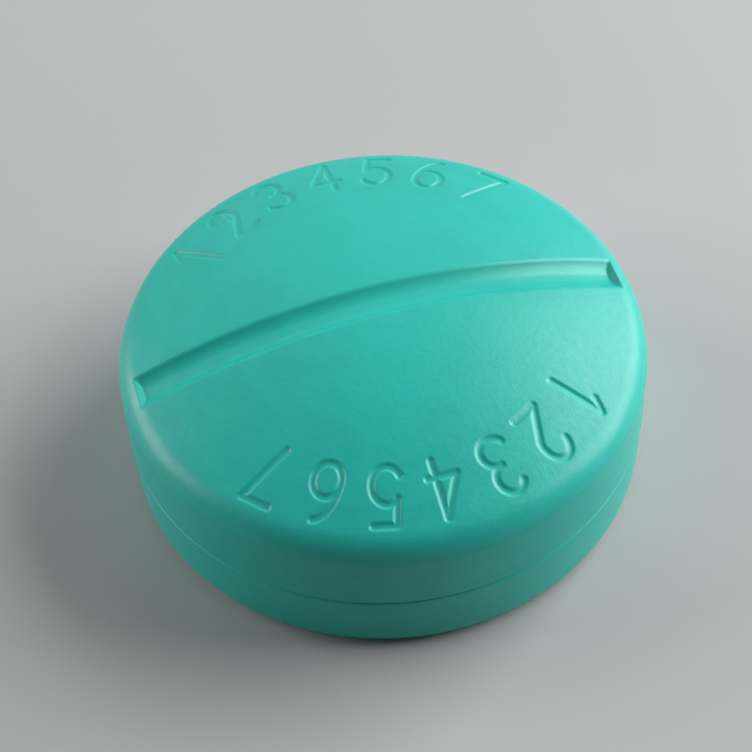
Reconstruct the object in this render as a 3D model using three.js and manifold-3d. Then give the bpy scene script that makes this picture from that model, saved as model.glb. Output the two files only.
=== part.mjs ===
// Round pill box shaped like one large scored tablet. A domed lid pushes over the neck of a round base.
// A soft ring in the lid grips the neck, and a loose tray in the base has one compartment for each day.
// All lengths are millimetres, +Z is up, +X runs along the score line, and the box stands on z = 0.

import * as THREE from "three";
import { mergeVertices } from "three/addons/utils/BufferGeometryUtils.js";
import Module from "manifold-3d";

const wasm = await Module();
wasm.setup();

// Outer form
const outerRadius = 40;
const boxHeight = 32.5;
const domeRadius = 98;
const shoulderRadius = 4.8;
const footRadius = 3;
const footTaper = 0.3;
const standingRingWidth = 5.5;
const standingRingHeight = 0.8;

// Seam between the lid and the base
const seamHeight = 11.6;
const seamGap = 0.3;
const seamEdgeRadius = 0.4;

// Walls
const lidWall = 2;
const domeWall = 2.2;
const neckWall = 1.8;
const baseFloor = 2;
const baseFloorFillet = 1.5;

// Neck that the lid goes over
const neckHeadroom = 2.13;
const neckClearance = 0.3;
const neckEdgeRadius = 0.6;
const lidLeadIn = 0.5;

// Score line
const scoreWidth = 5.9;
const scoreDepth = 1.4;
const scoreEndRadius = 37.6;
const scoreCornerRadius = 1.6;
const scoreSideDraft = THREE.MathUtils.degToRad(40);
const scoreEndDraft = THREE.MathUtils.degToRad(45);

// Seal ring in the lid's side wall
const sealPlaceShare = 0.374;
const sealHeight = 1.8;
const sealThickness = 0.9;
const sealGripClearance = 0.08;
const sealSeatClearance = 0.12;
const sealLipRadius = 0.45;

// Compartment insert
const dayCount = 7;
const insertClearance = 0.4;
const insertLift = 0.3;
const insertFloor = 1.2;
const insertWall = 1.2;
const insertRimDrop = 0.8;
const dividerWall = 1.2;
const dividerHeadroom = 0.7;
const dividerCornerRadius = 2;
const scoopRadius = 4;
const hubRadius = 4.6;
const hubWall = 1.4;
const hubFootRadius = 1.2;

// How finely round shapes are stepped
const roundSteps = 72;
const domeSteps = 9;
const shoulderSteps = 6;
const filletSteps = 4;
const edgeSteps = 2;
const scoreSteps = 25;

// Places that follow from the sizes above
const quarter = Math.PI / 2;
const lidRim = seamHeight + seamGap / 2;
const ledge = seamHeight - seamGap / 2;
const lidHeight = boxHeight - lidRim;
const skirtRadius = outerRadius - lidWall;
const neckRadius = skirtRadius - neckClearance;
const neckBore = neckRadius - neckWall;
const innerShoulderRadius = Math.max(shoulderRadius - lidWall, lidWall / 4);
const innerDomeRadius = domeRadius - domeWall;
const skirtHeight = wallHeight(skirtRadius, lidHeight - domeWall, innerDomeRadius, innerShoulderRadius);
const neckTop = lidRim + skirtHeight - neckHeadroom;
const sealRise = sealPlaceShare * skirtHeight - sealHeight / 2;
const floorTop = standingRingHeight + baseFloor;
const insertUnderside = floorTop + insertLift;
const insertRadius = neckBore - insertClearance;
const dividerTop = boxHeight - 2 * domeWall - scoreDepth - dividerHeadroom;
const cutOverrun = domeWall;

// A point of a turned profile: its distance from the axis and its height.
function point(radius, height) {
  return new THREE.Vector2(radius, height);
}

// Points along an arc of a profile. The angle is measured from +Z towards the outside.
function arc(centreRadius, centreHeight, radius, from, to, steps) {
  const points = [];
  for (let i = 0; i <= steps; i += 1) {
    const angle = from + ((to - from) * i) / steps;
    points.push(point(centreRadius + radius * Math.sin(angle), centreHeight + radius * Math.cos(angle)));
  }
  return points;
}

// A geometry as a solid that can be cut and joined.
function solid(geometry) {
  const bare = geometry.index ? geometry.toNonIndexed() : geometry.clone();
  bare.deleteAttribute("normal");
  bare.deleteAttribute("uv");
  const merged = mergeVertices(bare);
  return new wasm.Manifold(
    new wasm.Mesh({
      numProp: 3,
      vertProperties: merged.attributes.position.array,
      triVerts: new Uint32Array(merged.index.array),
    }),
  );
}

// A solid of revolution about Z. The profile runs from the top of the outside down and back inside.
function turned(profile) {
  const geometry = new THREE.LatheGeometry([...profile].reverse(), roundSteps);
  geometry.rotateX(quarter);
  return solid(geometry);
}

// A solid through rings of points that all have the same count. The end rings are closed flat.
function lofted(rings) {
  const count = rings[0].length;
  const positions = rings.flat().flatMap((p) => [p.x, p.y, p.z]);
  const faces = [];
  for (let ring = 0; ring + 1 < rings.length; ring += 1) {
    for (let i = 0; i < count; i += 1) {
      const a = ring * count + i;
      const b = ring * count + ((i + 1) % count);
      faces.push(a, b + count, b, a, a + count, b + count);
    }
  }
  const last = (rings.length - 1) * count;
  for (let i = 1; i + 1 < count; i += 1) {
    faces.push(0, i, i + 1);
    faces.push(last, last + i + 1, last + i);
  }
  const geometry = new THREE.BufferGeometry();
  geometry.setAttribute("position", new THREE.Float32BufferAttribute(positions, 3));
  geometry.setIndex(faces);
  return solid(geometry);
}

// A named mesh of a finished solid.
function meshOf(name, made, material) {
  const { vertProperties, triVerts } = made.getMesh();
  const geometry = new THREE.BufferGeometry();
  geometry.setAttribute("position", new THREE.BufferAttribute(vertProperties, 3));
  geometry.setIndex(new THREE.BufferAttribute(triVerts, 1));
  const flat = geometry.toNonIndexed();
  flat.computeVertexNormals();
  const mesh = new THREE.Mesh(flat, material);
  mesh.name = name;
  return mesh;
}

function tealPlastic() {
  return new THREE.MeshStandardMaterial({ color: 0x3fb8aa, roughness: 0.45, metalness: 0 });
}

function whitePlastic() {
  return new THREE.MeshStandardMaterial({ color: 0xe9ebe6, roughness: 0.5, metalness: 0 });
}

function sealSilicone() {
  return new THREE.MeshStandardMaterial({ color: 0xd8e4e0, roughness: 0.6, metalness: 0 });
}

// The height at which a cap's side wall runs into its shoulder.
function wallHeight(wallRadius, top, sphere, fillet) {
  return top - sphere + Math.sqrt((sphere - fillet) ** 2 - (wallRadius - fillet) ** 2);
}

// Dome and shoulder of a cap with its top at the given height, from the axis out to its side wall.
function capProfile(wallRadius, top, sphere, fillet) {
  const sphereCentre = top - sphere;
  const filletCentre = wallRadius - fillet;
  const filletHeight = wallHeight(wallRadius, top, sphere, fillet);
  const tilt = Math.atan2(filletCentre, filletHeight - sphereCentre);
  return [
    ...arc(0, sphereCentre, sphere, 0, tilt, domeSteps).slice(0, -1),
    ...arc(filletCentre, filletHeight, fillet, tilt, quarter, shoulderSteps),
  ];
}

// The lid's outer form as if it were solid, with its rim at z = 0.
function lidForm() {
  return turned([
    ...capProfile(outerRadius, lidHeight, domeRadius, shoulderRadius),
    ...arc(outerRadius - seamEdgeRadius, seamEdgeRadius, seamEdgeRadius, quarter, 2 * quarter, edgeSteps),
    point(0, 0),
  ]);
}

// The hollow in the lid, with the seat of the seal ring and a lead-in at the rim.
function lidHollow() {
  const seat = sealRise + sealHeight + sealSeatClearance;
  const seatFoot = sealRise - sealSeatClearance;
  const seatRadius = neckRadius + sealGripClearance + sealThickness + sealSeatClearance;
  const leadIn = Math.min(lidLeadIn, seatFoot / 2);
  return turned([
    ...capProfile(skirtRadius, lidHeight - domeWall, innerDomeRadius, innerShoulderRadius),
    point(skirtRadius, seat),
    point(seatRadius, seat),
    point(seatRadius, seatFoot),
    point(skirtRadius, seatFoot),
    point(skirtRadius, leadIn),
    point(skirtRadius + leadIn, 0),
    point(skirtRadius + leadIn, -cutOverrun),
    point(0, -cutOverrun),
  ]);
}

// Half widths and depths of the score line's section, from one lip round the floor to the other lip.
// A positive growth gives the wall round the score line, which shows under the lid as a ridge.
function scoreSection(growth) {
  const depth = scoreDepth + growth;
  const corner = scoreCornerRadius + growth;
  const lip = scoreWidth / 2 + growth / Math.cos(scoreSideDraft);
  const cornerHeight = depth - corner;
  const cornerAcross = lip - cornerHeight * Math.tan(scoreSideDraft) - corner / Math.cos(scoreSideDraft);
  const side = [[lip + cutOverrun * Math.tan(scoreSideDraft), -cutOverrun]];
  for (let i = 0; i <= filletSteps; i += 1) {
    const angle = scoreSideDraft + ((quarter - scoreSideDraft) * i) / filletSteps;
    side.push([cornerAcross + corner * Math.cos(angle), cornerHeight + corner * Math.sin(angle)]);
  }
  const mirrored = side.map(([across, down]) => [-across, down]).reverse();
  return [...side, ...mirrored];
}

// The score line's channel, or the wall round it, bent over the dome at an even depth.
function scoreChannel(growth, endRadius) {
  const centre = lidHeight - domeRadius;
  const endAngle = Math.asin(endRadius / domeRadius);
  const section = scoreSection(growth);
  const rings = [];
  for (let i = 0; i <= scoreSteps; i += 1) {
    const share = (2 * i) / scoreSteps - 1;
    rings.push(
      section.map(([across, down]) => {
        const reach = domeRadius - down;
        const angle = share * (endAngle - (down * Math.tan(scoreEndDraft)) / domeRadius);
        return new THREE.Vector3(reach * Math.sin(angle), across, centre + reach * Math.cos(angle));
      }),
    );
  }
  return lofted(rings);
}

function lid() {
  const hollow = lidHollow().subtract(scoreChannel(domeWall, outerRadius));
  const made = lidForm().subtract(hollow).subtract(scoreChannel(0, scoreEndRadius));
  return meshOf("lid", made, tealPlastic());
}

// The seal ring, with its foot at z = 0. Its inner face is a round lip that meets the neck.
function sealRing() {
  const inner = neckRadius + sealGripClearance;
  const outer = inner + sealThickness;
  const lip = Math.min(sealLipRadius, sealHeight / 2);
  const made = turned([
    point(outer, sealHeight),
    point(outer, 0),
    ...arc(inner + lip, lip, lip, 2 * quarter, 3 * quarter, filletSteps),
    ...arc(inner + lip, sealHeight - lip, lip, 3 * quarter, 4 * quarter, filletSteps),
    point(outer, sealHeight),
  ]);
  return meshOf("seal_ring", made, sealSilicone());
}

function base() {
  const fillet = baseFloorFillet;
  const foot = outerRadius - footTaper;
  const ringOuter = foot - footRadius;
  const ringInner = ringOuter - standingRingWidth;
  const made = turned([
    point(0, floorTop),
    ...arc(neckBore - fillet, floorTop + fillet, fillet, 2 * quarter, quarter, filletSteps),
    point(neckBore, neckTop),
    ...arc(neckRadius - neckEdgeRadius, neckTop - neckEdgeRadius, neckEdgeRadius, 0, quarter, edgeSteps),
    point(neckRadius, ledge),
    ...arc(outerRadius - seamEdgeRadius, ledge - seamEdgeRadius, seamEdgeRadius, 0, quarter, edgeSteps),
    ...arc(ringOuter, footRadius, footRadius, quarter, 2 * quarter, shoulderSteps),
    point(ringInner, 0),
    point(ringInner - standingRingHeight, standingRingHeight),
    point(0, standingRingHeight),
  ]);
  return meshOf("base", made, tealPlastic());
}

// The room under the lid's ridge that the hub and the day walls fill.
function dividerRoom() {
  const reach = insertRadius - insertWall / 2;
  const sphere = domeRadius - (boxHeight - dividerTop);
  return turned([
    ...capProfile(reach, dividerTop - insertUnderside, sphere, dividerCornerRadius),
    point(reach, insertFloor / 2),
    point(0, insertFloor / 2),
  ]);
}

// One of the upright walls between two days, from the axis out past the tray.
function divider(angle) {
  const wall = new THREE.BoxGeometry(outerRadius, dividerWall, boxHeight);
  wall.translate(outerRadius / 2, 0, boxHeight / 2);
  wall.rotateZ(angle);
  return solid(wall);
}

// The tray with scooped corners and the hub's rounded foot.
function tray() {
  const foot = hubFootRadius;
  const bore = insertRadius - insertWall;
  const rim = neckTop - insertRimDrop - insertUnderside;
  return turned([
    point(0, insertFloor + foot),
    point(hubRadius, insertFloor + foot),
    ...arc(hubRadius + foot, insertFloor + foot, foot, 3 * quarter, 2 * quarter, filletSteps),
    ...arc(bore - scoopRadius, insertFloor + scoopRadius, scoopRadius, 2 * quarter, quarter, shoulderSteps),
    point(bore, rim),
    point(insertRadius, rim),
    point(insertRadius, baseFloorFillet),
    point(insertRadius - baseFloorFillet, 0),
    point(0, 0),
  ]);
}

// The hollow in the hub, open at the underside.
function hubCore() {
  const radius = hubRadius - hubWall;
  const top = dividerTop - hubWall - insertUnderside;
  return turned([point(0, top), point(radius, top), point(radius, -cutOverrun), point(0, -cutOverrun)]);
}

// The insert, with its underside at z = 0: the tray, the hub and a wall between each two days.
function compartmentInsert() {
  let upright = turned([point(0, boxHeight), point(hubRadius, boxHeight), point(hubRadius, 0), point(0, 0)]);
  for (let day = 0; day < dayCount; day += 1) {
    upright = upright.add(divider((4 * quarter * (day + 0.5)) / dayCount));
  }
  const made = tray().add(upright.intersect(dividerRoom())).subtract(hubCore());
  return meshOf("compartment_insert", made, whitePlastic());
}

// The insert stands on the base's floor, and the ring rides in the lid.
const pillBox = new THREE.Group();
const insert = compartmentInsert();
insert.position.z = insertUnderside;
const cover = new THREE.Group();
const seal = sealRing();
seal.position.z = sealRise;
cover.add(lid(), seal);
cover.position.z = lidRim;
pillBox.add(base(), insert, cover);

export default pillBox;
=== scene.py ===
import math

import bpy
import numpy as np
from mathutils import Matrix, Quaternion, Vector


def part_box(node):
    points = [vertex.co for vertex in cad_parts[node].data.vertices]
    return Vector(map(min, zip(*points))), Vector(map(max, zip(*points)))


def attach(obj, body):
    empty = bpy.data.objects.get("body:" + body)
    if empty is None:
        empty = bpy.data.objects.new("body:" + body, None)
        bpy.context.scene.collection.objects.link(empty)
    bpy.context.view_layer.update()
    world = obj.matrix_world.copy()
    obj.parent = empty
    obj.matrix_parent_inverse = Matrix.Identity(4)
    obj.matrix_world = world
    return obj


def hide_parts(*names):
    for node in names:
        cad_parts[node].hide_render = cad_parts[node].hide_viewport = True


# Round pill box shaped like one large scored tablet: a domed lid with plain engraved day numbers,
# a round base with a neck, a soft ring in the lid and a loose tray with seven compartments.

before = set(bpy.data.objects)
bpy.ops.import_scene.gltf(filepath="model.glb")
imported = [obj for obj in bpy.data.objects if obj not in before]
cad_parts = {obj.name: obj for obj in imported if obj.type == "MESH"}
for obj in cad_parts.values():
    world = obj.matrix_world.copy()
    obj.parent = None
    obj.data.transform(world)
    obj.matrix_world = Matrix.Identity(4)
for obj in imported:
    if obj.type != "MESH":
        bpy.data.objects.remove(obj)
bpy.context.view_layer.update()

MM = 0.001
TURN = 2 * math.pi
QUARTER = math.pi / 2
SLIGHT = 0.002 * MM

# Places taken from the frame
lid_low, lid_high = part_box("lid")
insert_low, insert_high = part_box("compartment_insert")
seal_low, seal_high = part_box("seal_ring")
RADIUS = lid_high.x
TOP = lid_high.z
LID_RIM = lid_low.z
NECK_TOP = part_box("base")[1].z

# Outer form
DOME_RADIUS = 98 * MM
SHOULDER_RADIUS = 4.8 * MM
FOOT_RADIUS = 3 * MM
FOOT_TAPER = 0.3 * MM
STANDING_RING_WIDTH = 5.5 * MM
STANDING_RING_HEIGHT = 0.8 * MM
GATE_MARK_RADIUS = 1.6 * MM
GATE_MARK_DEPTH = 0.25 * MM
SEAM_GAP = 0.06 * MM
SEAM_EDGE_RADIUS = 0.4 * MM
FINE_EDGE_RADIUS = 0.25 * MM

# Walls, neck and ring seat
LID_WALL = 2 * MM
DOME_WALL = 2.2 * MM
NECK_WALL = 1.8 * MM
NECK_CLEARANCE = 0.3 * MM
NECK_EDGE_RADIUS = 0.6 * MM
LID_LEAD_IN = 0.5 * MM
BASE_FLOOR = 2 * MM
BASE_FLOOR_FILLET = 1.5 * MM
SEAL_SEAT_CLEARANCE = 0.12 * MM
SEAL_LIP_RADIUS = 0.45 * MM
SEAL_GRIP_CLEARANCE = 0.08 * MM

# Score line
SCORE_HALF_WIDTH = 2.95 * MM
SCORE_DEPTH = 1.1 * MM
SCORE_END = 37.6 * MM
SCORE_SIDE_DRAFT = math.radians(50)
SCORE_END_DRAFT = math.radians(45)
SCORE_LIP_RADIUS = 1.1 * MM
SCORE_CORNER_RADIUS = 3.4 * MM
SCORE_END_LIP_RADIUS = 0.3 * MM
SCORE_END_CORNER_RADIUS = 0.5 * MM
RIDGE_DEPTH = 1.4 * MM
RIDGE_DRAFT = math.radians(30)
RIDGE_ROOT_RADIUS = 0.8 * MM
RIDGE_CORNER_RADIUS = 3 * MM

# Engraved day numbers
NUMBER_RING_RADIUS = 32 * MM
NUMBER_HEIGHT = 9.3 * MM
NUMBER_WIDTH = 5.4 * MM
NUMBER_SPACING = math.radians(15.4)
STROKE_WIDTH = 1.1 * MM
STROKE_DEPTH = 0.26 * MM
STROKE_LIP = 0.2 * MM
STROKE_FOOT = 0.4 * MM

# Compartment insert
DAYS = 7
INSERT_FLOOR = 1.2 * MM
INSERT_WALL = 1.2 * MM
INSERT_RIM_DROP = 0.8 * MM
DIVIDER_HALF_WALL = 0.52 * MM
DIVIDER_FOOT_SPREAD = 0.13 * MM
DIVIDER_EDGE_RADIUS = 0.3 * MM
DIVIDER_FILLET = 0.9 * MM
DIVIDER_CORNER_RADIUS = 2 * MM
SCOOP_RADIUS = 4 * MM
HUB_RADIUS = 4.6 * MM
HUB_WALL = 1.4 * MM
HUB_FOOT_RADIUS = 1.2 * MM

# How finely the pieces are made
ROUND_STEPS = 224
DOME_RING_SPACING = 0.9 * MM
INNER_RING_SPACING = 2.2 * MM
TRAY_RINGS = 12
SHOULDER_STEPS = 12
SCOOP_STEPS = 10
FILLET_STEPS = 8
EDGE_STEPS = 6
RIDGE_STEPS = 5
FINE_EDGE_STEPS = 4
SMALL_EDGE_STEPS = 3
DIVIDER_EDGE_SHARES = (0, 0.5, 0.85, 1)
DIVIDER_FILLET_SHARES = (0, 0.08, 0.25, 0.5, 1)
NUMBER_DEGREES_PER_STEP = 10
STROKE_REACHES = (2.4 * MM, 1.3 * MM, 0.62 * MM)
STROKE_SNAP = DOME_RING_SPACING / 20
SMOOTH_ANGLE = math.radians(40)

# Places that follow from the sizes above
skirt_radius = RADIUS - LID_WALL
neck_radius = skirt_radius - NECK_CLEARANCE
neck_bore = neck_radius - NECK_WALL
ledge = LID_RIM - SEAM_GAP
insert_radius = insert_high.x
dome_centre = TOP - DOME_RADIUS
dome_edge = (RADIUS - SHOULDER_RADIUS) * DOME_RADIUS / (DOME_RADIUS - SHOULDER_RADIUS)
inner_wall_top = dome_centre + math.sqrt(
    (DOME_RADIUS - SHOULDER_RADIUS + LID_WALL - DOME_WALL) ** 2 - (RADIUS - SHOULDER_RADIUS) ** 2
)
score_reach = 2 * SCORE_HALF_WIDTH
ridge_reach = 4 * SCORE_HALF_WIDTH
divider_reach = insert_radius - INSERT_WALL / 2
divider_sphere = insert_high.z - dome_centre
half_sector = TURN / DAYS / 2


# Profiles

def arc(centre_radius, centre_height, radius, start, end, steps):
    """Points along an arc of a profile, with angles measured from upright towards the outside."""
    points = []
    for i in range(steps + 1):
        angle = start + (end - start) * i / steps
        outward, upward = math.sin(angle), math.cos(angle)
        points.append((centre_radius + radius * outward, centre_height + radius * upward))
    return points


def cap(wall_radius, top, sphere, fillet, spacing, fillet_steps):
    """A dome and its shoulder, from the axis out and down to the side wall."""
    sphere_centre = top - sphere
    fillet_centre = wall_radius - fillet
    fillet_height = sphere_centre + math.sqrt((sphere - fillet) ** 2 - fillet_centre ** 2)
    tilt = math.atan2(fillet_centre, fillet_height - sphere_centre)
    rings = math.ceil(sphere * tilt / spacing)
    dome = arc(0, sphere_centre, sphere, 0, tilt, rings)
    return dome[:-1] + arc(fillet_centre, fillet_height, fillet, tilt, QUARTER, fillet_steps)


def pocket_side(half_width, depth, draft, lip, corner, steps):
    """Points of (distance from the middle, depth) down a pocket's side, from its lip to its floor."""
    turn = QUARTER - draft
    lip_start = half_width + lip * math.tan(turn / 2)
    floor_end = half_width - depth * math.tan(draft) - corner * math.tan(turn / 2)
    points = []
    for i in range(steps + 1):
        angle = turn * i / steps
        points.append((lip_start - lip * math.sin(angle), lip * (1 - math.cos(angle))))
    for i in range(steps + 1):
        angle = turn * (1 - i / steps)
        points.append((floor_end + corner * math.sin(angle), depth - corner * (1 - math.cos(angle))))
    return points


def depth_across(side, distance):
    """The depth of a pocket at each distance from its middle."""
    places, depths = zip(*reversed(side))
    return np.interp(np.abs(distance), places, depths)


# Mesh work

def deselect():
    if bpy.context.mode != "OBJECT":
        bpy.ops.object.mode_set(mode="OBJECT")
    bpy.ops.object.select_all(action="DESELECT")


def take_up(piece):
    """Selects one piece alone and makes it the active one."""
    deselect()
    piece.select_set(True)
    bpy.context.view_layer.objects.active = piece


def finish_edit():
    bpy.ops.object.mode_set(mode="OBJECT")


def close_up():
    """Merges what meets and turns every face outwards."""
    bpy.ops.mesh.select_all(action="SELECT")
    bpy.ops.mesh.remove_doubles(threshold=SLIGHT)
    bpy.ops.mesh.normals_make_consistent(inside=False)


def spun(name, profile, steps, start=0.0, sweep=TURN):
    """A piece whose profile, of (distance from the axis, height), is drawn point by point and spun."""
    deselect()
    bpy.ops.mesh.primitive_plane_add(size=MM)
    piece = bpy.context.object
    piece.name = name
    piece.data.name = name
    bpy.ops.object.mode_set(mode="EDIT")
    bpy.ops.mesh.select_mode(type="VERT")
    bpy.ops.mesh.select_all(action="SELECT")
    bpy.ops.mesh.merge(type="CENTER")
    outward = Vector((math.cos(start), math.sin(start), 0))
    here = None
    for radius, height in profile:
        there = outward * radius + Vector((0, 0, height))
        if here is None:
            bpy.ops.transform.translate(value=there)
        else:
            bpy.ops.mesh.extrude_vertices_move(TRANSFORM_OT_translate={"value": there - here})
        here = there
    bpy.ops.mesh.select_all(action="SELECT")
    # The operator turns clockwise, seen from above, for a positive angle.
    bpy.ops.mesh.spin(steps=steps, angle=-sweep, center=(0, 0, 0), axis=(0, 0, 1))
    bpy.ops.mesh.select_all(action="SELECT")
    bpy.ops.mesh.remove_doubles(threshold=SLIGHT)
    bpy.ops.mesh.select_mode(type="FACE")
    finish_edit()
    return piece


def places_of(items, name):
    """The places of vertices or of the middles of faces, one row each."""
    values = np.empty(len(items) * 3, np.float32)
    items.foreach_get(name, values)
    return values.reshape(-1, 3).astype(float)


def pick_faces(piece, wanted):
    """Selects the faces whose middles are wanted, and no others, and goes into edit mode."""
    finish_edit()
    mesh = piece.data
    mesh.vertices.foreach_set("select", np.zeros(len(mesh.vertices), bool))
    mesh.edges.foreach_set("select", np.zeros(len(mesh.edges), bool))
    mesh.polygons.foreach_set("select", wanted(places_of(mesh.polygons, "center")))
    bpy.ops.object.mode_set(mode="EDIT")


def cut_along(piece, wanted, normal, offsets):
    """Cuts the wanted faces along a plane at each offset, so that edges lie where the form bends."""
    for offset in offsets:
        pick_faces(piece, wanted)
        bpy.ops.mesh.bisect(
            plane_co=Vector(normal) * offset, plane_no=normal, use_fill=False, threshold=SLIGHT
        )
    finish_edit()


def shift_upright(piece, name, shifts):
    """Raises or lowers each vertex by its shift, with a Displace modifier that is applied."""
    furthest = float(np.abs(shifts).max())
    group = piece.vertex_groups.new(name=name)
    for index in np.flatnonzero(shifts):
        group.add([int(index)], abs(float(shifts[index])) / furthest, "REPLACE")
    modifier = piece.modifiers.new(name, "DISPLACE")
    modifier.direction = "Z"
    modifier.mid_level = 0
    modifier.strength = math.copysign(furthest, shifts.sum())
    modifier.vertex_group = name
    apply_modifiers(piece)
    piece.vertex_groups.remove(piece.vertex_groups[name])


def apply_modifiers(piece):
    take_up(piece)
    for modifier in list(piece.modifiers):
        bpy.ops.object.modifier_apply(modifier=modifier.name)


def repeat_round(piece, copies):
    """Repeats the whole piece about the box's axis and joins the copies into one closed body."""
    take_up(piece)
    bpy.ops.object.mode_set(mode="EDIT")
    bpy.ops.mesh.select_all(action="SELECT")
    for _ in range(copies - 1):
        bpy.ops.mesh.duplicate()
        bpy.ops.transform.rotate(value=TURN / copies, orient_axis="Z", center_override=(0, 0, 0))
    close_up()
    finish_edit()


def place_piece(piece, body, node, material):
    """Smooths a finished piece, gives it its material, hangs it on its body and hides the part that it
    stands in for.
    """
    take_up(piece)
    bpy.ops.object.shade_smooth_by_angle(angle=SMOOTH_ANGLE)
    even = piece.modifiers.new("even_shading", "WEIGHTED_NORMAL")
    even.keep_sharp = True
    apply_modifiers(piece)
    piece.data.materials.clear()
    piece.data.materials.append(material)
    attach(piece, body)
    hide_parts(node)


# Engraved numbers

def bend(across, up, wide, high, start, end):
    """Points round an ellipse between two angles in degrees, in shares of half a number's size."""
    steps = math.ceil(abs(end - start) / NUMBER_DEGREES_PER_STEP)
    points = []
    for i in range(steps + 1):
        angle = math.radians(start + (end - start) * i / steps)
        points.append((across + wide * math.cos(angle), up + high * math.sin(angle)))
    return points


# The strokes of the numbers 1 to 7, in the same shares
NUMBER_SHARES = [
    [[(-0.6, 0.55), (0.1, 1)], [(0.1, 1), (0.1, -1)]],
    [bend(0, 0.42, 0.92, 0.58, 170, -35) + [(-0.95, -1)], [(-0.95, -1), (1, -1)]],
    [bend(-0.1, 0.5, 0.9, 0.5, 150, -90), bend(-0.1, -0.5, 1, 0.5, 90, -150)],
    [[(0.45, -1), (0.45, 1)], [(0.45, 1), (-1, -0.4)], [(-1, -0.4), (1, -0.4)]],
    [[(0.85, 1), (-0.7, 1)], [(-0.7, 1), (-0.8, 0.1)], bend(-0.1, -0.35, 1, 0.65, 135, -150)],
    [bend(0.55, -0.4, 1.5, 1.4, 95, 180), bend(0, -0.4, 0.95, 0.6, 0, 360)],
    [[(-1, 1), (1, 1)], [(1, 1), (-0.3, -1)]],
]


def number_strokes():
    """The strokes of the numbers on the near half of the lid, as lines of plan points."""
    strokes = []
    for index, shares in enumerate(NUMBER_SHARES):
        angle = -QUARTER - (index - (DAYS - 1) / 2) * NUMBER_SPACING
        outward = np.array((math.cos(angle), math.sin(angle)))
        rightward = np.array((outward[1], -outward[0]))
        for line in shares:
            places = [
                outward * (NUMBER_RING_RADIUS + up * (NUMBER_HEIGHT - STROKE_WIDTH) / 2)
                + rightward * across * (NUMBER_WIDTH - STROKE_WIDTH) / 2
                for across, up in line
            ]
            strokes.append(places)
    return strokes


def stroke_distance(places, strokes):
    """How far each plan point lies outside the nearest engraved stroke. It is negative inside."""
    nearest = np.full(len(places), RADIUS)
    for line in strokes:
        for start, end in zip(line, line[1:]):
            run = end - start
            share = np.clip((places - start) @ run / (run @ run), 0, 1)
            beside = places - start - share[:, None] * run
            nearest = np.minimum(nearest, np.hypot(beside[:, 0], beside[:, 1]))
    return nearest - STROKE_WIDTH / 2


# Lid

score_side = pocket_side(
    SCORE_HALF_WIDTH, SCORE_DEPTH, SCORE_SIDE_DRAFT,
    SCORE_LIP_RADIUS, SCORE_CORNER_RADIUS, EDGE_STEPS,
)
score_end = pocket_side(
    SCORE_END, SCORE_DEPTH, SCORE_END_DRAFT,
    SCORE_END_LIP_RADIUS, SCORE_END_CORNER_RADIUS, FINE_EDGE_STEPS,
)
ridge_side = pocket_side(
    SCORE_HALF_WIDTH + DOME_WALL, RIDGE_DEPTH, RIDGE_DRAFT,
    RIDGE_ROOT_RADIUS, RIDGE_CORNER_RADIUS, RIDGE_STEPS,
)


def lid_profile():
    edge = SEAM_EDGE_RADIUS
    seat_low = seal_low.z - SEAL_SEAT_CLEARANCE
    seat_high = seal_high.z + SEAL_SEAT_CLEARANCE
    seat_radius = seal_high.x + SEAL_SEAT_CLEARANCE
    outside = cap(RADIUS, TOP, DOME_RADIUS, SHOULDER_RADIUS, DOME_RING_SPACING, SHOULDER_STEPS)
    inside = cap(
        skirt_radius, TOP - DOME_WALL, DOME_RADIUS - DOME_WALL,
        SHOULDER_RADIUS - LID_WALL, INNER_RING_SPACING, FILLET_STEPS,
    )
    return [
        *outside,
        (RADIUS, outside[-1][1] - edge),
        (RADIUS, LID_RIM + 2 * edge),
        *arc(RADIUS - edge, LID_RIM + edge, edge, QUARTER, 2 * QUARTER, EDGE_STEPS),
        (skirt_radius + LID_LEAD_IN, LID_RIM),
        (skirt_radius, LID_RIM + LID_LEAD_IN),
        (skirt_radius, seat_low),
        (seat_radius, seat_low),
        (seat_radius, seat_high),
        (skirt_radius, seat_high),
        *reversed(inside),
    ]


def beyond_dome_middle(places):
    """Tells which places lie nearer the outside of the dome than its inside."""
    return np.linalg.norm(places - (0, 0, dome_centre), axis=1) > DOME_RADIUS - DOME_WALL / 2


def cut_score_line(piece):
    """Gives the near half of the lid edges where the score line and the ridge under it bend."""
    across = [place for place, _ in score_side]
    across = [across[0] + SCORE_LIP_RADIUS / 2, *across, across[-1] - SCORE_LIP_RADIUS]
    along = [place for place, _ in score_end]
    along = [along[0] + SCORE_LIP_RADIUS / 2, *along, along[-1] - SCORE_LIP_RADIUS]
    ridge = [place for place, _ in ridge_side]

    def near_line(middles):
        return beyond_dome_middle(middles) & (np.abs(middles[:, 1]) < score_reach)

    def near_ridge(middles):
        inside = np.hypot(middles[:, 0], middles[:, 1]) < skirt_radius - SLIGHT
        above = ~beyond_dome_middle(middles) & (middles[:, 2] > NECK_TOP)
        return inside & above & (np.abs(middles[:, 1]) < ridge_reach)

    cut_along(piece, near_line, (0, 1, 0), [-place for place in across])
    for side in (-1, 1):
        cut_along(piece, near_line, (1, 0, 0), [side * place for place in along])
    cut_along(piece, near_ridge, (0, 1, 0), [-place for place in ridge])


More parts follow.
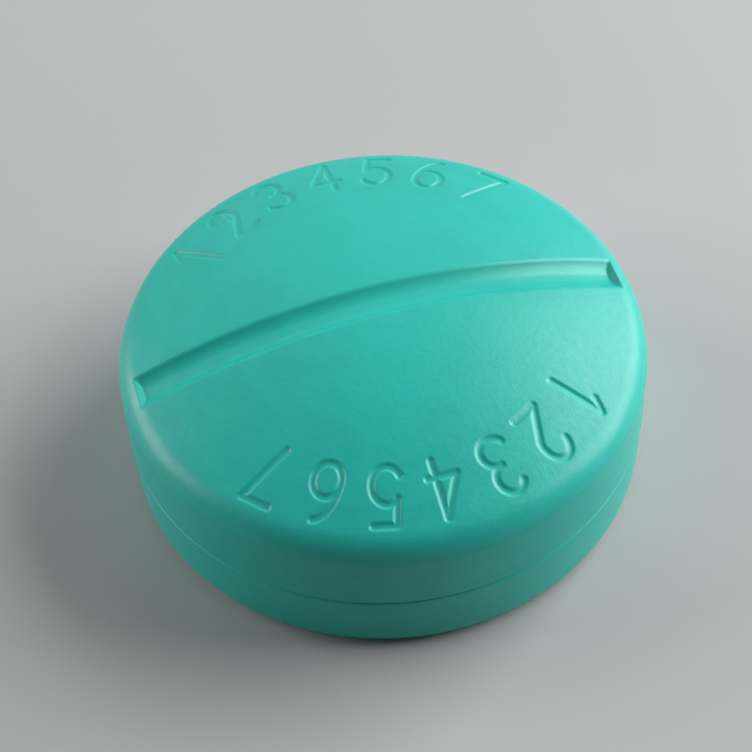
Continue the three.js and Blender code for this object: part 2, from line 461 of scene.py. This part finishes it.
def press_score_line(piece):
    """Lowers the outside of the dome along the score line, and its inside along the ridge."""
    places = places_of(piece.data.vertices, "co")
    radial = np.hypot(places[:, 0], places[:, 1])
    upright = 1 / np.sqrt(1 - (radial / DOME_RADIUS) ** 2)
    outer = beyond_dome_middle(places)
    depth = np.minimum(depth_across(score_side, places[:, 1]), depth_across(score_end, places[:, 0]))
    shift_upright(piece, "score_line", np.where(outer, -depth * upright, 0))
    inner = ~outer & (radial < skirt_radius + SLIGHT) & (places[:, 2] > inner_wall_top - SLIGHT)
    depth = depth_across(ridge_side, places[:, 1])
    shift_upright(piece, "ridge", np.where(inner, -depth * upright, 0))


def dome_near(strokes, reach):
    """Tells which faces lie on the dome within reach of the strokes."""
    def wanted(middles):
        near = beyond_dome_middle(middles) & (np.hypot(middles[:, 0], middles[:, 1]) < dome_edge)
        near[near] = stroke_distance(middles[near, :2], strokes) < reach
        return near
    return wanted


def engrave_numbers(piece):
    """Refines the dome round the strokes, sets the new points on it and presses the strokes in."""
    strokes = number_strokes()
    for reach in STROKE_REACHES:
        pick_faces(piece, dome_near(strokes, reach))
        bpy.ops.mesh.subdivide(number_cuts=1)
    finish_edit()

    mesh = piece.data
    places = places_of(mesh.vertices, "co")
    near = beyond_dome_middle(places) & (np.hypot(places[:, 0], places[:, 1]) < dome_edge + SLIGHT)
    plan = places[near, :2]
    outside = stroke_distance(plan, strokes)
    step = STROKE_WIDTH / 100
    slope = np.stack([
        stroke_distance(plan + (step, 0), strokes) - stroke_distance(plan - (step, 0), strokes),
        stroke_distance(plan + (0, step), strokes) - stroke_distance(plan - (0, step), strokes),
    ], axis=1) / (2 * step)
    for line in (STROKE_LIP, -STROKE_FOOT):
        close = np.abs(outside - line) < STROKE_SNAP
        plan[close] -= slope[close] * (outside[close] - line)[:, None]
    outside = stroke_distance(plan, strokes)
    places[near, :2] = plan
    places[near, 2] = dome_centre + np.sqrt(DOME_RADIUS ** 2 - (plan ** 2).sum(axis=1))
    mesh.vertices.foreach_set("co", places.astype(np.float32).ravel())
    mesh.update()

    # The depth eases in from the stroke's lip and out again at its foot.
    share = np.clip((STROKE_LIP - outside) / (STROKE_LIP + STROKE_FOOT), 0, 1)
    shifts = np.zeros(len(places))
    shifts[near] = -STROKE_DEPTH * share ** 2 * (3 - 2 * share)
    shift_upright(piece, "numbers", shifts)


def make_lid():
    """Half of the lid is made with its score line and seven numbers, and the other half is its copy."""
    piece = spun("lid_shell", lid_profile(), ROUND_STEPS // 2, start=-math.pi, sweep=math.pi)
    cut_score_line(piece)
    engrave_numbers(piece)
    press_score_line(piece)
    repeat_round(piece, 2)
    return piece


# Base

def base_profile():
    foot = RADIUS - FOOT_TAPER
    ring_outer = foot - FOOT_RADIUS
    ring_inner = ring_outer - STANDING_RING_WIDTH
    floor = STANDING_RING_HEIGHT + BASE_FLOOR
    fillet = BASE_FLOOR_FILLET
    neck_edge = NECK_EDGE_RADIUS
    edge = SEAM_EDGE_RADIUS
    fine = FINE_EDGE_RADIUS
    return [
        (0, floor),
        (neck_bore / 3, floor),
        (neck_bore * 2 / 3, floor),
        *arc(neck_bore - fillet, floor + fillet, fillet, 2 * QUARTER, QUARTER, FILLET_STEPS),
        (neck_bore, floor + fillet + fine),
        (neck_bore, NECK_TOP - 2 * fine),
        *arc(neck_bore + fine, NECK_TOP - fine, fine, -QUARTER, 0, FINE_EDGE_STEPS),
        *arc(neck_radius - neck_edge, NECK_TOP - neck_edge, neck_edge, 0, QUARTER, EDGE_STEPS),
        (neck_radius, NECK_TOP - 2 * neck_edge),
        (neck_radius, ledge + 2 * fine),
        *arc(neck_radius + fine, ledge + fine, fine, 3 * QUARTER, 2 * QUARTER, FINE_EDGE_STEPS),
        *arc(RADIUS - edge, ledge - edge, edge, 0, QUARTER, EDGE_STEPS),
        (RADIUS, ledge - 2 * edge),
        (foot, FOOT_RADIUS + edge),
        *arc(ring_outer, FOOT_RADIUS, FOOT_RADIUS, QUARTER, 2 * QUARTER, SHOULDER_STEPS),
        *arc(ring_inner + fine, fine, fine, 2 * QUARTER, 2.5 * QUARTER, SMALL_EDGE_STEPS),
        (ring_inner - STANDING_RING_HEIGHT, STANDING_RING_HEIGHT),
        (2 * GATE_MARK_RADIUS, STANDING_RING_HEIGHT),
        (GATE_MARK_RADIUS + GATE_MARK_DEPTH, STANDING_RING_HEIGHT),
        (GATE_MARK_RADIUS, STANDING_RING_HEIGHT + GATE_MARK_DEPTH),
        (0, STANDING_RING_HEIGHT + GATE_MARK_DEPTH),
    ]


def make_base():
    piece = spun("base_shell", base_profile(), ROUND_STEPS)
    repeat_round(piece, 1)
    return piece


# Seal ring

def seal_profile():
    inner = neck_radius + SEAL_GRIP_CLEARANCE
    outer = seal_high.x
    low, high = seal_low.z, seal_high.z
    lip = SEAL_LIP_RADIUS
    fine = SEAL_LIP_RADIUS / 3
    return [
        *arc(outer - fine, high - fine, fine, 0, QUARTER, SMALL_EDGE_STEPS),
        *arc(outer - fine, low + fine, fine, QUARTER, 2 * QUARTER, SMALL_EDGE_STEPS),
        *arc(inner + lip, low + lip, lip, 2 * QUARTER, 3 * QUARTER, EDGE_STEPS),
        *arc(inner + lip, high - lip, lip, 3 * QUARTER, 4 * QUARTER, EDGE_STEPS),
        (outer - fine, high),
    ]


def make_seal_ring():
    piece = spun("soft_seal_ring", seal_profile(), ROUND_STEPS)
    repeat_round(piece, 1)
    return piece


# Compartment insert

def tray_profile():
    under = insert_low.z
    floor = under + INSERT_FLOOR
    rim = NECK_TOP - INSERT_RIM_DROP
    bore = insert_radius - INSERT_WALL
    foot = HUB_FOOT_RADIUS
    scoop = SCOOP_RADIUS
    edge = DIVIDER_EDGE_RADIUS
    core = HUB_RADIUS - HUB_WALL
    hub_top = insert_high.z - HUB_RADIUS ** 2 / (2 * divider_sphere)
    floor_start = HUB_RADIUS + foot
    floor_end = bore - scoop
    floor_width = floor_end - floor_start
    return [
        (0, insert_high.z),
        (HUB_RADIUS / 2, insert_high.z - HUB_RADIUS ** 2 / (8 * divider_sphere)),
        *arc(HUB_RADIUS - edge, hub_top - edge, edge, 0, QUARTER, FINE_EDGE_STEPS),
        (HUB_RADIUS, floor + 2 * foot),
        *arc(floor_start, floor + foot, foot, 3 * QUARTER, 2 * QUARTER, EDGE_STEPS),
        *[(floor_start + floor_width * i / TRAY_RINGS, floor) for i in range(1, TRAY_RINGS)],
        *arc(floor_end, floor + scoop, scoop, 2 * QUARTER, QUARTER, SCOOP_STEPS),
        *arc(bore + edge, rim - edge, edge, -QUARTER, 0, FINE_EDGE_STEPS),
        (divider_reach, rim),
        (divider_reach + SLIGHT * 10, rim),
        *arc(insert_radius - edge, rim - edge, edge, 0, QUARTER, FINE_EDGE_STEPS),
        (insert_radius, rim - 2 * edge),
        (insert_radius, under + BASE_FLOOR_FILLET + edge),
        (insert_radius, under + BASE_FLOOR_FILLET),
        (insert_radius - BASE_FLOOR_FILLET, under),
        (core + 2 * edge, under),
        *arc(core + edge, under + edge, edge, 2 * QUARTER, 3 * QUARTER, SMALL_EDGE_STEPS),
        (core, hub_top - HUB_WALL),
        (0, hub_top - HUB_WALL),
    ]


def divider_offsets(places):
    """How far each place lies from the nearer of the sector's two divider planes."""
    offsets = [
        np.abs(places[:, 1] * math.cos(angle) - places[:, 0] * math.sin(angle))
        for angle in (-half_sector, half_sector)
    ]
    return np.minimum(*offsets)


def beside_divider(upper, normal, reach):
    """Tells which of the upper faces lie within reach of a divider's middle plane."""
    def wanted(middles):
        return upper(middles) & (np.abs(middles @ normal) < reach)
    return wanted


def raise_dividers(piece):
    """Raises half a divider on each side of the sector, with a rounded top and a fillet at its foot."""
    floor = insert_low.z + INSERT_FLOOR
    half, spread, edge = DIVIDER_HALF_WALL, DIVIDER_FOOT_SPREAD, DIVIDER_EDGE_RADIUS
    fillet = DIVIDER_FILLET
    flat = half - edge
    bends = [flat + edge * share for share in DIVIDER_EDGE_SHARES]
    bends += [half + spread + fillet * share for share in DIVIDER_FILLET_SHARES]

    def upper(middles):
        radial = np.hypot(middles[:, 0], middles[:, 1])
        inside = (radial > HUB_RADIUS - edge + SLIGHT) & (radial < divider_reach + SLIGHT)
        return inside & (middles[:, 2] > floor - SLIGHT)

    for side in (-1, 1):
        angle = side * half_sector
        normal = np.array([-math.sin(angle), math.cos(angle), 0])
        beside = beside_divider(upper, normal, 4 * (half + fillet))
        cut_along(piece, beside, normal, [-side * bend for bend in bends])

    places = places_of(piece.data.vertices, "co")
    radial = np.hypot(places[:, 0], places[:, 1])
    offset = divider_offsets(places)
    outline = cap(
        divider_reach, insert_high.z, divider_sphere,
        DIVIDER_CORNER_RADIUS, INNER_RING_SPACING, FILLET_STEPS,
    )
    top = np.interp(radial, *zip(*outline))
    rounding = edge - np.sqrt(np.clip(edge ** 2 - np.clip(offset - flat, 0, edge) ** 2, 0, None))
    flank = np.clip(offset - half, 0, None) / spread * (top - floor)
    into_foot = np.clip(fillet - np.clip(offset - half - spread, 0, None), 0, fillet)
    low = places[:, 2] < floor + SCOOP_RADIUS + SLIGHT
    foot = np.where(low, fillet - np.sqrt(fillet ** 2 - into_foot ** 2), 0)
    raised = np.maximum(places[:, 2] + foot, top - rounding - flank)
    shift_upright(piece, "dividers", np.where(upper(places), raised - places[:, 2], 0))


def make_insert():
    """One day's sector is made with half a divider on each side, and repeated round the hub."""
    sector_steps = ROUND_STEPS // DAYS
    piece = spun("day_tray", tray_profile(), sector_steps, start=-half_sector, sweep=2 * half_sector)
    raise_dividers(piece)
    repeat_round(piece, DAYS)
    return piece


# Shader work

PITS_PER_MOTTLE = 3.2
CLOUDS_PER_METRE = 45.0
STREAKS_PER_METRE = 160.0
STREAK_STRETCH = 6.0
SMUDGES_PER_METRE = 85.0
HAIRLINE_STRETCH = 0.03
HAIRLINE_SETS = ((0.5, 700.0), (1.9, 900.0))
WORN_PATCHES_PER_METRE = 420.0

# How the finish departs from a material's roughness
SMOOTHEST_MOTTLE = -0.03
ROUGHEST_MOTTLE = 0.04
HANDLED = -0.06
POLISHED = -0.04

PLASTIC_SPECULAR = 0.4


def linear(red, green, blue):
    """A colour given in the 0 to 255 values of a screen, as linear light."""
    parts = [value / 255 for value in (red, green, blue)]
    return tuple(v / 12.92 if v <= 0.04045 else ((v + 0.055) / 1.055) ** 2.4 for v in parts) + (1.0,)


def add(tree, kind, inputs=None, **settings):
    """Adds a shader node. Its inputs are given as values or as the sockets that feed them."""
    made = tree.nodes.new(kind)
    for name, value in settings.items():
        setattr(made, name, value)
    for name, value in (inputs or {}).items():
        if isinstance(value, bpy.types.NodeSocket):
            tree.links.new(value, made.inputs[name])
        else:
            made.inputs[name].default_value = value
    return made


def math_node(tree, operation, first, second=0.0, clamp=False):
    inputs = {0: first, 1: second}
    return add(tree, "ShaderNodeMath", inputs, operation=operation, use_clamp=clamp).outputs[0]


def multiply_add(tree, value, factor, addend):
    inputs = {0: value, 1: factor, 2: addend}
    return add(tree, "ShaderNodeMath", inputs, operation="MULTIPLY_ADD").outputs[0]


def spread(tree, value, low, high, to_low=0.0, to_high=1.0):
    """Maps a value from one range smoothly to another."""
    inputs = {"Value": value, "From Min": low, "From Max": high, "To Min": to_low, "To Max": to_high}
    return add(tree, "ShaderNodeMapRange", inputs, interpolation_type="SMOOTHSTEP").outputs["Result"]


def noise(tree, places, scale, detail, distortion=0.0):
    """Cloudy noise with this many cells per metre."""
    inputs = {"Vector": places, "Scale": scale, "Detail": detail, "Distortion": distortion}
    return add(tree, "ShaderNodeTexNoise", inputs).outputs["Fac"]


def blend(tree, factor, first, second):
    """Mixes two colours. The node keeps its colour sockets at these numbers."""
    inputs = {0: factor, 6: first, 7: second}
    return add(tree, "ShaderNodeMix", inputs, data_type="RGBA").outputs[2]


def new_group(name, inputs, outputs):
    tree = bpy.data.node_groups.new(name, "ShaderNodeTree")
    for socket, kind, value in inputs:
        made = tree.interface.new_socket(socket, in_out="INPUT", socket_type=kind)
        made.default_value = value
    for socket, kind in outputs:
        tree.interface.new_socket(socket, in_out="OUTPUT", socket_type=kind)
    return tree, tree.nodes.new("NodeGroupInput").outputs, tree.nodes.new("NodeGroupOutput").inputs


def object_places(tree):
    return add(tree, "ShaderNodeTexCoord").outputs["Object"]


def mould_grain_group():
    """The fine texture of a spark-eroded mould: rounded mottles with a finer pitting between them."""
    tree, given, result = new_group(
        "mould_grain",
        [("Mottles per Metre", "NodeSocketFloat", 900.0), ("Pitting", "NodeSocketFloat", 0.35)],
        [("Height", "NodeSocketFloat")],
    )
    places = object_places(tree)
    per_metre = given["Mottles per Metre"]
    mottles = noise(tree, places, per_metre, detail=1.5)
    finer = math_node(tree, "MULTIPLY", per_metre, PITS_PER_MOTTLE)
    pits = add(tree, "ShaderNodeTexVoronoi", {"Vector": places, "Scale": finer}, feature="SMOOTH_F1")
    pitting = math_node(tree, "MULTIPLY", pits.outputs["Distance"], given["Pitting"])
    height = math_node(tree, "ADD", mottles, pitting)
    tree.links.new(height, result["Height"])
    return tree


def colour_drift_group():
    """Slow changes of colour through a moulding, and faint flow streaks."""
    tree, given, result = new_group(
        "colour_drift",
        [
            ("Colour", "NodeSocketColor", (0.5, 0.5, 0.5, 1.0)),
            ("Deeper", "NodeSocketColor", (0.4, 0.4, 0.4, 1.0)),
            ("Drift", "NodeSocketFloat", 0.3),
        ],
        [("Colour", "NodeSocketColor")],
    )
    places = object_places(tree)
    clouds = noise(tree, places, CLOUDS_PER_METRE, detail=3.0)
    stretched = add(tree, "ShaderNodeMapping", {"Vector": places, "Scale": (1.0, 1.0, STREAK_STRETCH)})
    streaks = noise(tree, stretched.outputs[0], STREAKS_PER_METRE, detail=2.0)
    both = math_node(tree, "MULTIPLY", clouds, streaks)
    amount = math_node(tree, "MULTIPLY", spread(tree, both, low=0.12, high=0.4), given["Drift"])
    tree.links.new(blend(tree, amount, given["Colour"], given["Deeper"]), result["Colour"])
    return tree


def handling_group():
    """Where hands have touched: soft smudges and fine rubbed hairlines."""
    tree, given, result = new_group(
        "handling",
        [("Smudges", "NodeSocketFloat", 0.5), ("Hairlines", "NodeSocketFloat", 0.5)],
        [("Mask", "NodeSocketFloat")],
    )
    places = object_places(tree)
    smudges = noise(tree, places, SMUDGES_PER_METRE, detail=4.0, distortion=0.6)
    soft = math_node(tree, "MULTIPLY", spread(tree, smudges, low=0.5, high=0.68), given["Smudges"])
    lines = []
    for turn, per_metre in HAIRLINE_SETS:
        inputs = {"Vector": places, "Rotation": (0, 0, turn), "Scale": (1, HAIRLINE_STRETCH, 1)}
        turned = add(tree, "ShaderNodeMapping", inputs)
        fine = noise(tree, turned.outputs[0], per_metre, detail=1.0)
        lines.append(spread(tree, fine, low=0.69, high=0.73))
    rubbed = math_node(tree, "MULTIPLY", math_node(tree, "MAXIMUM", *lines), given["Hairlines"])
    mask = math_node(tree, "MAXIMUM", soft, rubbed)
    tree.links.new(mask, result["Mask"])
    return tree


def edge_wear_group():
    """Edges rubbed lighter where the form is convex, broken up so that the wear isn't even."""
    tree, given, result = new_group(
        "edge_wear", [("Wear", "NodeSocketFloat", 0.5)], [("Mask", "NodeSocketFloat")]
    )
    places = object_places(tree)
    sharpness = add(tree, "ShaderNodeNewGeometry").outputs["Pointiness"]
    broken = noise(tree, places, WORN_PATCHES_PER_METRE, detail=3.0)
    convex = spread(tree, sharpness, low=0.55, high=0.66)
    patches = spread(tree, broken, low=0.4, high=0.62)
    worn = math_node(tree, "MULTIPLY", convex, patches)
    tree.links.new(math_node(tree, "MULTIPLY", worn, given["Wear"]), result["Mask"])
    return tree


mould_grain = mould_grain_group()
colour_drift = colour_drift_group()
handling = handling_group()
edge_wear = edge_wear_group()


def new_material(name, preview):
    material = bpy.data.materials.new(name)
    material.use_nodes = True
    material.diffuse_color = preview
    tree = material.node_tree
    tree.nodes.clear()
    shader = add(tree, "ShaderNodeBsdfPrincipled")
    output = add(tree, "ShaderNodeOutputMaterial")
    tree.links.new(shader.outputs["BSDF"], output.inputs["Surface"])
    return material, tree, shader


def moulded_material(
    name, colour, deeper, worn, roughness, drift, grain, grain_per_metre,
    polished=None, smudges=0.5, wear=0.5,
):
    """A moulded plastic. Where the polished mask is 1 the mould was smooth, and its grain fades."""
    material, tree, shader = new_material(name, colour)
    shader.inputs["Specular IOR Level"].default_value = PLASTIC_SPECULAR
    tinted = add(tree, "ShaderNodeGroup", node_tree=colour_drift)
    tinted.inputs["Colour"].default_value = colour
    tinted.inputs["Deeper"].default_value = deeper
    tinted.inputs["Drift"].default_value = drift
    edges = add(tree, "ShaderNodeGroup", node_tree=edge_wear)
    edges.inputs["Wear"].default_value = wear
    touched = add(tree, "ShaderNodeGroup", node_tree=handling)
    touched.inputs["Smudges"].default_value = smudges
    touched.inputs["Hairlines"].default_value = smudges / 2
    surface = add(tree, "ShaderNodeGroup", node_tree=mould_grain)
    surface.inputs["Mottles per Metre"].default_value = grain_per_metre
    rubbed = blend(tree, edges.outputs["Mask"], tinted.outputs["Colour"], worn)
    tree.links.new(rubbed, shader.inputs["Base Color"])

    height = surface.outputs["Height"]
    mottled = spread(
        tree, height, low=0.35, high=0.85,
        to_low=roughness + SMOOTHEST_MOTTLE, to_high=roughness + ROUGHEST_MOTTLE,
    )
    finish = multiply_add(tree, touched.outputs["Mask"], HANDLED, mottled)
    bump = add(tree, "ShaderNodeBump", {"Strength": 1.0, "Distance": grain, "Height": height})
    if polished:
        mask = polished(tree)
        finish = multiply_add(tree, mask, POLISHED, finish)
        strength = math_node(tree, "SUBTRACT", 1.0, mask, clamp=True)
        tree.links.new(strength, bump.inputs["Strength"])
    tree.links.new(finish, shader.inputs["Roughness"])
    tree.links.new(bump.outputs["Normal"], shader.inputs["Normal"])
    return material


def polished_mask(tree):
    """1 in the score line and on the side wall, where the mould was polished, and 0 on the dome."""
    split = add(tree, "ShaderNodeSeparateXYZ", {"Vector": object_places(tree)}).outputs
    beside = math_node(tree, "ABSOLUTE", split["Y"])
    lip_end = SCORE_HALF_WIDTH + SCORE_LIP_RADIUS
    score_line = spread(tree, beside, SCORE_HALF_WIDTH, lip_end, to_low=1.0, to_high=0.0)
    shoulder_end = inner_wall_top + SHOULDER_RADIUS
    side_wall = spread(tree, split["Z"], inner_wall_top, shoulder_end, to_low=1.0, to_high=0.0)
    return math_node(tree, "MAXIMUM", score_line, side_wall)


TEAL = linear(27, 176, 164)
TEAL_DEEPER = linear(20, 163, 151)
TEAL_WORN = linear(96, 200, 188)
WHITE = linear(226, 228, 222)
WHITE_DEEPER = linear(212, 214, 207)
WHITE_WORN = linear(238, 239, 235)
SILICONE = linear(206, 219, 214)
SILICONE_DEEPER = linear(190, 206, 200)

lid_plastic = moulded_material(
    "teal_lid_plastic", TEAL, TEAL_DEEPER, TEAL_WORN,
    roughness=0.39, drift=0.5, grain=0.034 * MM, grain_per_metre=950, polished=polished_mask,
)
base_plastic = moulded_material(
    "teal_base_plastic", TEAL, TEAL_DEEPER, TEAL_WORN,
    roughness=0.35, drift=0.5, grain=0.006 * MM, grain_per_metre=1200,
)
insert_plastic = moulded_material(
    "white_insert_plastic", WHITE, WHITE_DEEPER, WHITE_WORN,
    roughness=0.4, drift=0.6, grain=0.004 * MM, grain_per_metre=1100, smudges=0.3,
)
ring_silicone = moulded_material(
    "seal_ring_silicone", SILICONE, SILICONE_DEEPER, SILICONE,
    roughness=0.55, drift=0.7, grain=0.006 * MM, grain_per_metre=1600, smudges=0.2, wear=0.0,
)


# The pieces in place

place_piece(make_lid(), "lid", "lid", lid_plastic)
place_piece(make_base(), "base", "base", base_plastic)
place_piece(make_insert(), "insert", "compartment_insert", insert_plastic)
place_piece(make_seal_ring(), "seal", "seal_ring", ring_silicone)


# Floor, light and camera

CAMERA_PLACE = Vector((-49.2, -195.2, 258.9)) * MM
CAMERA_AIM = Vector((-2.2, -4.0, 20)) * MM
CAMERA_ROLL = math.radians(-3.46)
CAMERA_LENS = 98.2
CAMERA_NEAREST = 0.01
FLOOR_SIZE = 6.0
FLOOR_ROUGHNESS = 0.6
FLOOR_GREY = linear(173, 174, 174)
BACKDROP_GREY = linear(205, 205, 205)
ROOM_GREY = linear(200, 200, 202)
ROOM_LIGHT = 0.04
LIGHT_DISTANCE = 1.0


def make_floor():
    deselect()
    bpy.ops.mesh.primitive_plane_add(size=FLOOR_SIZE)
    floor = bpy.context.object
    floor.name = "pale_floor"
    material, _, shader = new_material("pale_floor_paint", FLOOR_GREY)
    shader.inputs["Base Color"].default_value = FLOOR_GREY
    shader.inputs["Roughness"].default_value = FLOOR_ROUGHNESS
    floor.data.materials.append(material)


def soft_light(name, azimuth, elevation, wide, high, power):
    """One soft box at the studio distance, turned to face the pill box. Its angles are in degrees."""
    round_angle = math.radians(azimuth)
    rise_angle = math.radians(elevation)
    data = bpy.data.lights.new(name, "AREA")
    data.shape = "RECTANGLE"
    data.size = wide
    data.size_y = high
    data.energy = power
    lamp = bpy.data.objects.new(name, data)
    level = math.cos(rise_angle)
    across, along = level * math.cos(round_angle), level * math.sin(round_angle)
    heading = Vector((across, along, math.sin(rise_angle)))
    lamp.location = heading * LIGHT_DISTANCE
    lamp.rotation_euler = heading.to_track_quat("Z", "Y").to_euler()
    bpy.context.scene.collection.objects.link(lamp)


def make_world():
    """Faint light from all round, and the backdrop that the camera and glossy surfaces see."""
    world = bpy.data.worlds.new("studio")
    bpy.context.scene.world = world
    world.use_nodes = True
    tree = world.node_tree
    tree.nodes.clear()
    room = add(tree, "ShaderNodeBackground", {"Color": ROOM_GREY, "Strength": ROOM_LIGHT})
    backdrop = add(tree, "ShaderNodeBackground", {"Color": BACKDROP_GREY, "Strength": 1.0})
    rays = add(tree, "ShaderNodeLightPath").outputs
    reflected = math_node(tree, "MAXIMUM", rays["Is Glossy Ray"], rays["Is Transmission Ray"])
    seen = math_node(tree, "MAXIMUM", rays["Is Camera Ray"], reflected)
    mixed = add(tree, "ShaderNodeMixShader", {0: seen, 1: room.outputs[0], 2: backdrop.outputs[0]})
    add(tree, "ShaderNodeOutputWorld", {"Surface": mixed.outputs[0]})


def make_camera():
    data = bpy.data.cameras.new("photograph_view")
    data.lens = CAMERA_LENS
    data.clip_start = CAMERA_NEAREST
    camera = bpy.data.objects.new("photograph_view", data)
    camera.location = CAMERA_PLACE
    facing = (CAMERA_AIM - CAMERA_PLACE).to_track_quat("-Z", "Y")
    camera.rotation_euler = (facing @ Quaternion((0, 0, 1), CAMERA_ROLL)).to_euler()
    bpy.context.scene.collection.objects.link(camera)
    bpy.context.scene.camera = camera


make_floor()
make_world()
soft_light("right_soft_box", azimuth=6, elevation=30, wide=1.0, high=0.9, power=20.0)
soft_light("left_soft_box", azimuth=152, elevation=20, wide=0.7, high=0.6, power=7.2)
soft_light("back_soft_box", azimuth=90, elevation=46, wide=1.0, high=0.8, power=1.2)
make_camera()
bpy.context.scene.view_settings.view_transform = "Standard"
